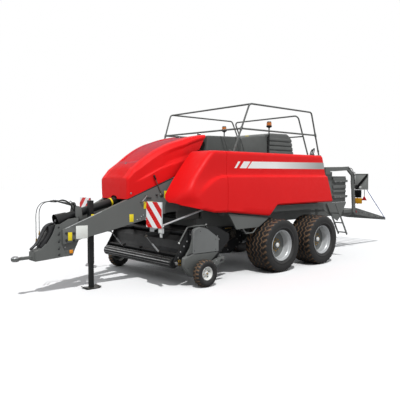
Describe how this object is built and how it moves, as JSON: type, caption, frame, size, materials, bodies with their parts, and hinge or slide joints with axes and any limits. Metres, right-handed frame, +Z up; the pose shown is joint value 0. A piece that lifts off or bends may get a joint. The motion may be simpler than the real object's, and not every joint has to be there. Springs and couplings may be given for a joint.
{
  "type": "large square baler",
  "caption": "Towed large square baler with drawbar, pick-up, bale chamber, tandem wheels, lifting side covers and folding bale chute.",
  "frame": {"origin": "on the ground under the middle of the whole machine", "axes": "+X towards the drawbar eye, +Y to the left of the machine, +Z up"},
  "size_m": [10.576, 2.9022, 3.307],
  "materials": {
    "red": "gloss paint",
    "grey": "satin paint",
    "black": "satin paint",
    "silver": "metallic paint",
    "tyre": "matt",
    "plastic": "moulded",
    "steel": "bare",
    "board": "reflective sheet",
    "rubber": "matt",
    "rope": "laid rope"
  },
  "bodies": {
    "chassis": {"beacons": "plastic", "bogie_beams": "grey", "bogie_cross_tube": "grey", "chamber_floor": "grey", "chamber_roof": "grey", "chamber_walls": "grey", "chute_rope": "rope", "density_doors": "grey", "drawbar_beams": "grey", "drawbar_eye": "grey", "drawbar_head": "grey", "drive_guard": "black", "feeder_housing": "black", "frame_cross_members": "grey", "frame_rails": "grey", "front_warning_boards": "board", "guard_rails_ends": "grey", "guard_rails_sides": "grey", "hose_clamp": "grey", "hose_couplers": "steel", "hydraulic_hose_lower": "rubber", "hydraulic_hose_upper": "rubber", "jack_tube": "black", "knotter_cover": "grey", "lower_shields": "grey", "main_gearbox": "grey", "nose_panels": "red", "rear_light_boards": "board", "service_deck": "grey", "side_sills": "grey", "tension_frame": "grey", "top_cover_front": "grey", "twine_boxes": "grey"},
    "wheel_left_front": {"tyre_left_front": "tyre", "rim_left_front": "silver"},
    "wheel_right_front": {"tyre_right_front": "tyre", "rim_right_front": "silver"},
    "wheel_left_rear": {"tyre_left_rear": "tyre", "rim_left_rear": "silver"},
    "wheel_right_rear": {"tyre_right_rear": "tyre", "rim_right_rear": "silver"},
    "gauge_wheel_left": {"gauge_tyre_left": "tyre", "gauge_rim_left": "silver"},
    "gauge_wheel_right": {"gauge_tyre_right": "tyre", "gauge_rim_right": "silver"},
    "driveline": {"drive_shaft": "steel", "flywheel": "grey"},
    "jack_inner": {"jack_leg": "black"},
    "hood_body": {"hood": "red"},
    "left_door": {"side_door_left": "red"},
    "right_door": {"side_door_right": "red"},
    "pickup": {"pickup_frame": "black", "pickup_side_covers": "plastic", "gauge_arms": "grey"},
    "reel": {"pickup_reel": "black"},
    "windguard": {"windguard_frame": "black"},
    "roller": {"crop_roller": "black"},
    "chute": {"chute_frame": "grey"},
    "folding_ladder": {"ladder": "grey"}
  },
  "joints": [
    {"name": "wheel_left_front_spin", "type": "hinge", "parent": "chassis", "child": "wheel_left_front", "pos_m": [0.432, 1.175, 0.5335], "axis": [0, 1, 0], "continuous": true},
    {"name": "wheel_right_front_spin", "type": "hinge", "parent": "chassis", "child": "wheel_right_front", "pos_m": [0.432, -1.175, 0.5335], "axis": [0, 1, 0], "continuous": true},
    {"name": "wheel_left_rear_spin", "type": "hinge", "parent": "chassis", "child": "wheel_left_rear", "pos_m": [-0.954, 1.175, 0.5335], "axis": [0, 1, 0], "continuous": true},
    {"name": "wheel_right_rear_spin", "type": "hinge", "parent": "chassis", "child": "wheel_right_rear", "pos_m": [-0.954, -1.175, 0.5335], "axis": [0, 1, 0], "continuous": true},
    {"name": "pickup_lift", "type": "hinge", "parent": "chassis", "child": "pickup", "pos_m": [1.732, 0, 0.78], "axis": [0, -1, 0], "range_deg": [0, 15]},
    {"name": "gauge_wheel_left_spin", "type": "hinge", "parent": "pickup", "child": "gauge_wheel_left", "pos_m": [2.462, 1.362, 0.238], "axis": [0, 1, 0], "continuous": true},
    {"name": "gauge_wheel_right_spin", "type": "hinge", "parent": "pickup", "child": "gauge_wheel_right", "pos_m": [2.462, -1.362, 0.238], "axis": [0, 1, 0], "continuous": true},
    {"name": "reel_spin", "type": "hinge", "parent": "pickup", "child": "reel", "pos_m": [2.332, 0, 0.43], "axis": [0, 1, 0], "continuous": true},
    {"name": "windguard_lift", "type": "hinge", "parent": "pickup", "child": "windguard", "pos_m": [2.582, 0, 0.915], "axis": [0, -1, 0], "range_deg": [0, 20]},
    {"name": "roller_spin", "type": "hinge", "parent": "windguard", "child": "roller", "pos_m": [2.917, 0, 0.428], "axis": [0, 1, 0], "continuous": true},
    {"name": "driveline_spin", "type": "hinge", "parent": "chassis", "child": "driveline", "pos_m": [2.872, 0, 1.6168], "axis": [0.9678, 0, -0.2516], "continuous": true},
    {"name": "jack_slide", "type": "slide", "parent": "chassis", "child": "jack_inner", "axis": [0, 0, 1], "range_m": [0, 0.39]},
    {"name": "hood_lift", "type": "hinge", "parent": "chassis", "child": "hood_body", "pos_m": [1.694, 0, 2.735], "axis": [0, -1, 0], "range_deg": [0, 50]},
    {"name": "left_door_lift", "type": "hinge", "parent": "chassis", "child": "left_door", "pos_m": [0.432, 1.166, 2.386], "axis": [1, 0, 0], "range_deg": [0, 75]},
    {"name": "right_door_lift", "type": "hinge", "parent": "chassis", "child": "right_door", "pos_m": [0.432, -1.166, 2.386], "axis": [-1, 0, 0], "range_deg": [0, 75]},
    {"name": "chute_fold", "type": "hinge", "parent": "chassis", "child": "chute", "pos_m": [-3.588, 0, 1], "axis": [0, 1, 0], "range_deg": [0, 88], "deforming": ["chute_rope"]},
    {"name": "ladder_fold", "type": "hinge", "parent": "chassis", "child": "folding_ladder", "pos_m": [-1.698, 1.03, 1.26], "axis": [0, 1, 0], "range_deg": [0, 110]}
  ]
}
